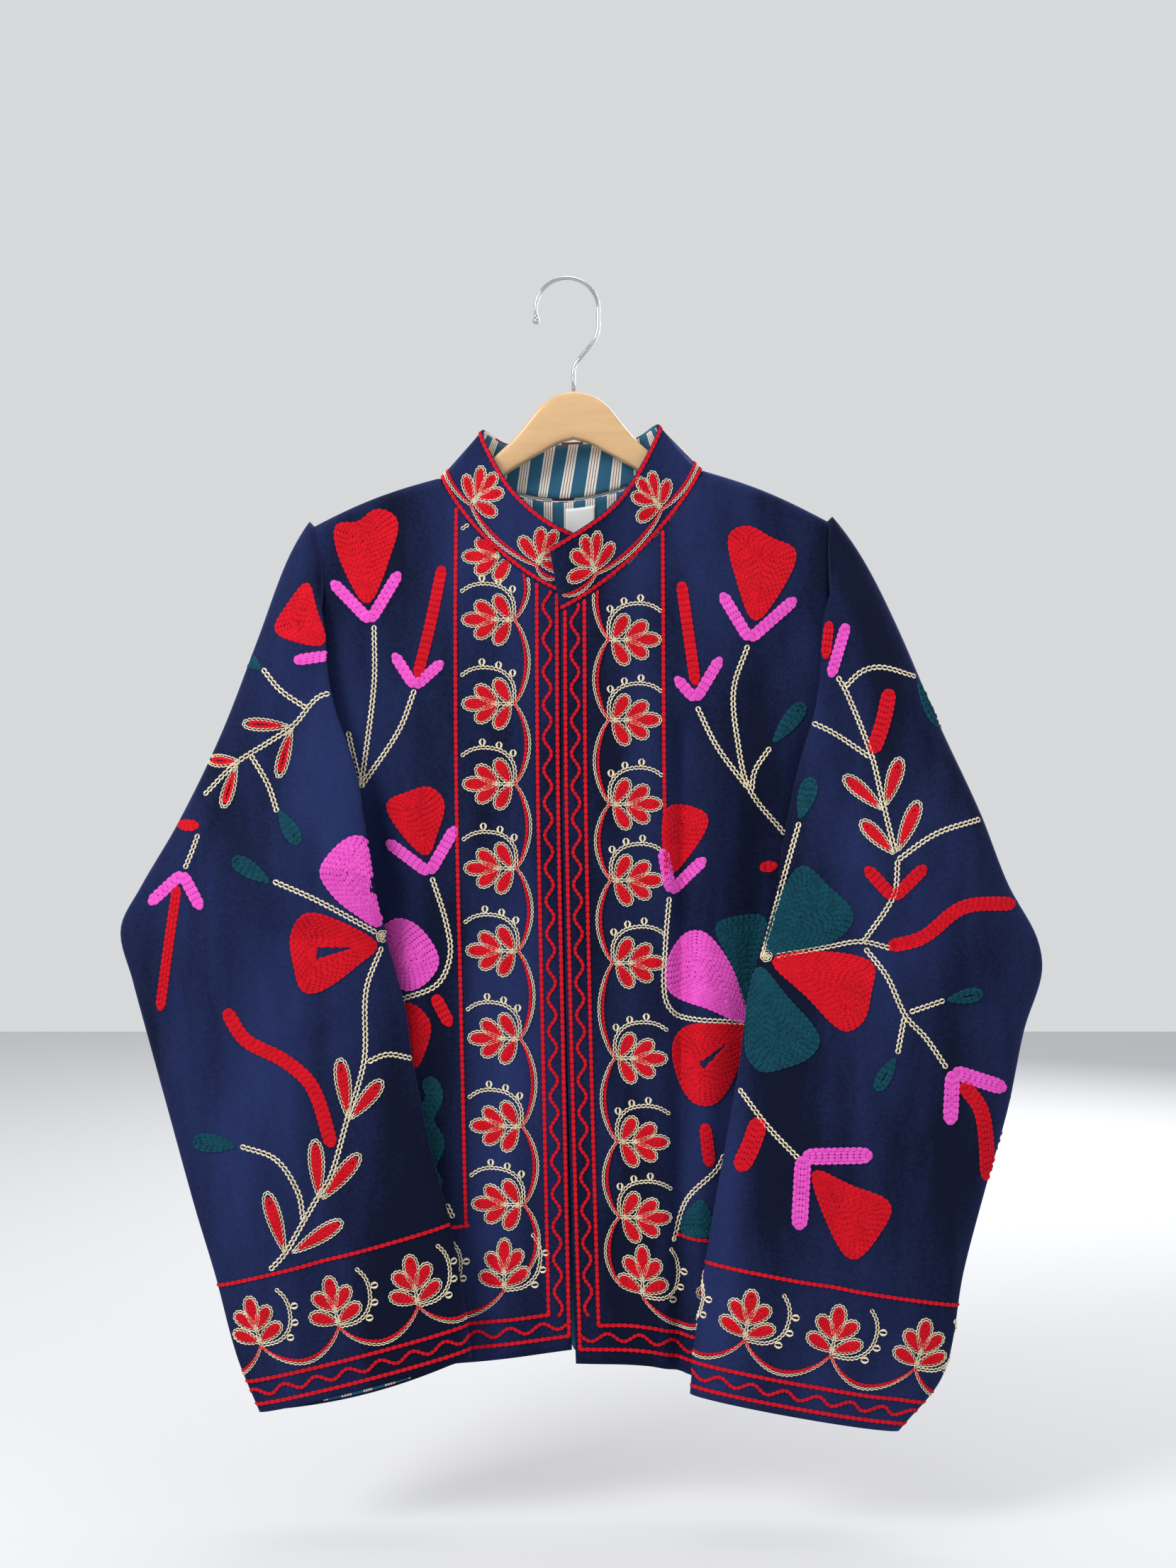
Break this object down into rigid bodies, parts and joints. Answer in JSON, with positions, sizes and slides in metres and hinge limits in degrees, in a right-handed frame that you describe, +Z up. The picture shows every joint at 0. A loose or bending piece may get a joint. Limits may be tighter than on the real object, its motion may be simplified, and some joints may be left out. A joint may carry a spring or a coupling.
{
  "type": "embroidered velvet jacket on a wooden hanger with a wire hook",
  "caption": "Open-front velvet jacket with a standing collar and wide sleeves, hanging on a wooden hanger with a wire hook.",
  "frame": {"origin": "inner crest of the hanger's hook, where a rail or wall hook carries it", "axes": "+Z up, the front of the jacket faces -Y, +X is to the right of someone who looks at the front"},
  "size_m": [0.684, 0.0942, 0.867],
  "materials": {
    "velvet": "navy cotton velvet with a short pile, satin sheen where it turns to the light",
    "embroidery_red": "glossy chain-stitch thread",
    "embroidery_pink": "glossy chain-stitch thread",
    "embroidery_cream": "glossy chain-stitch thread",
    "embroidery_teal": "glossy chain-stitch thread",
    "striped_lining": "plain-weave cotton, teal with groups of white stripes",
    "label": "plain woven tape",
    "varnished_wood": "clear satin varnish",
    "hook_wire": "polished"
  },
  "bodies": {
    "root": {"front_left": "velvet", "front_right": "velvet", "back": "velvet", "sleeve_left": "velvet", "sleeve_right": "velvet", "collar": "velvet", "collar_lining": "striped_lining", "back_lining": "striped_lining", "cuff_lining_left": "striped_lining", "label": "label", "hanger_wood": "varnished_wood", "hanger_hook": "hook_wire"}
  },
  "joints": []
}
